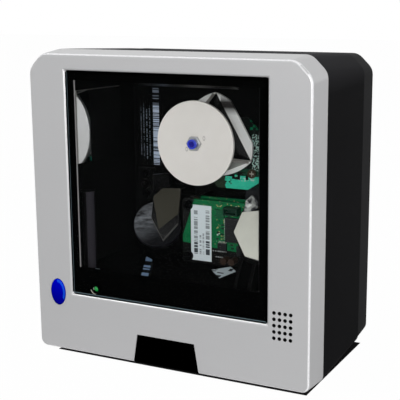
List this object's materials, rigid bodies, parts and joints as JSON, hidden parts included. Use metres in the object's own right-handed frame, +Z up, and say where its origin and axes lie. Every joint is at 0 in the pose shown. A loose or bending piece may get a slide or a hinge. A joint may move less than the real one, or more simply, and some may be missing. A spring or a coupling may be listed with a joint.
{
  "type": "omnidirectional barcode scanner",
  "caption": "Upright box scanner with a tall glass front, a blue push button, and a motor-driven mirror wheel with fixed mirrors behind the window.",
  "frame": {"origin": "centre of the footprint, on the surface that the rubber feet stand on", "axes": "+X to the right as seen from the front, +Y from the window to the rear cover, +Z up"},
  "size_m": [0.1556, 0.0954, 0.1573],
  "materials": {
    "bezel_silver": "silver metallic paint, satin",
    "window_glass": "clear, polished",
    "gasket_black": "matte",
    "insert_black": "fine texture",
    "housing_black": "fine moulded texture",
    "foot_rubber": "matte",
    "screw_steel": "zinc plated",
    "brass": "turned",
    "socket_black": "smooth",
    "contact_gold": "gold plated",
    "board_green": "solder mask",
    "button_blue": "glossy",
    "plunger_ivory": "smooth",
    "led_green": "translucent look",
    "speaker_black": "smooth",
    "speaker_cloth": "woven",
    "tub_black": "dull black",
    "mirror": "front silvered",
    "photodiode_red": "dark red epoxy",
    "laser_alloy": "die cast",
    "lens_glass": "polished",
    "chip_black": "moulded epoxy",
    "connector_black": "nylon",
    "board_black": "black solder mask",
    "screw_black": "black oxide",
    "capacitor_brown": "sleeved",
    "sticker_pale": "paper label",
    "sticker_dark": "printed label",
    "ribbon_grey": "flat cable",
    "motor_board_green": "solder mask",
    "stator_steel": "laminated",
    "coil_copper": "enamelled copper",
    "shaft_steel": "ground",
    "rotor_steel": "drawn, plated",
    "magnet_grey": "bonded ferrite",
    "disc_cream": "smooth",
    "core_black": "smooth",
    "plate_polished": "polished",
    "nut_steel": "plated",
    "hub_blue": "lacquer"
  },
  "bodies": {
    "housing": {"front_bezel": "bezel_silver", "window_glass": "window_glass", "window_gasket": "gasket_black", "notch_insert": "insert_black", "main_housing": "housing_black", "rear_cover": "housing_black", "rubber_feet": "foot_rubber", "housing_screws": "screw_steel", "cover_screws": "screw_steel", "bracket_inserts": "brass", "interface_socket": "socket_black", "socket_contacts": "contact_gold", "interface_board": "board_green", "button_switch": "socket_black", "switch_board": "board_green", "status_led": "led_green", "led_board": "board_green", "speaker": "speaker_black", "speaker_cloth": "speaker_cloth", "optical_tub": "tub_black", "tub_screws": "screw_steel", "left_mirror": "mirror", "right_mirror": "mirror", "top_mirror": "mirror", "lower_left_mirror": "mirror", "lower_right_mirror": "mirror", "fold_mirror": "mirror", "collecting_mirror": "mirror", "photodiode": "photodiode_red", "detector_board": "board_black", "laser_bracket": "laser_alloy", "laser_barrel": "brass", "laser_lens": "lens_glass", "decoder_board": "board_green", "power_board": "board_green", "board_spacers": "brass", "stack_screws": "screw_black", "board_chips": "chip_black", "board_connector": "connector_black", "board_capacitors": "capacitor_brown", "board_sticker": "sticker_pale", "wall_sticker": "sticker_dark", "motor_ribbon": "ribbon_grey", "ribbon_sockets": "connector_black", "motor_board": "motor_board_green", "motor_bearing": "brass", "stator_core": "stator_steel", "stator_coils": "coil_copper", "board_screws": "screw_steel"},
    "wheel": {"wheel_shaft": "shaft_steel", "rotor_cup": "rotor_steel", "rotor_magnet": "magnet_grey", "rear_disc": "plate_polished", "wheel_core": "core_black", "mirror_facets": "mirror", "front_disc": "disc_cream", "hub_nut": "nut_steel", "hub_cap": "hub_blue"},
    "button": {"button_cap": "button_blue", "switch_plunger": "plunger_ivory"}
  },
  "joints": [
    {"name": "wheel_spin", "type": "hinge", "parent": "housing", "child": "wheel", "pos_m": [0, -0.00175, 0.1098], "axis": [0, 1, 0], "continuous": true},
    {"name": "button_press", "type": "slide", "parent": "housing", "child": "button", "axis": [0, 1, 0], "range_m": [0, 0.0008], "stiffness_N_per_m": 600, "springref_m": -0.0005}
  ]
}
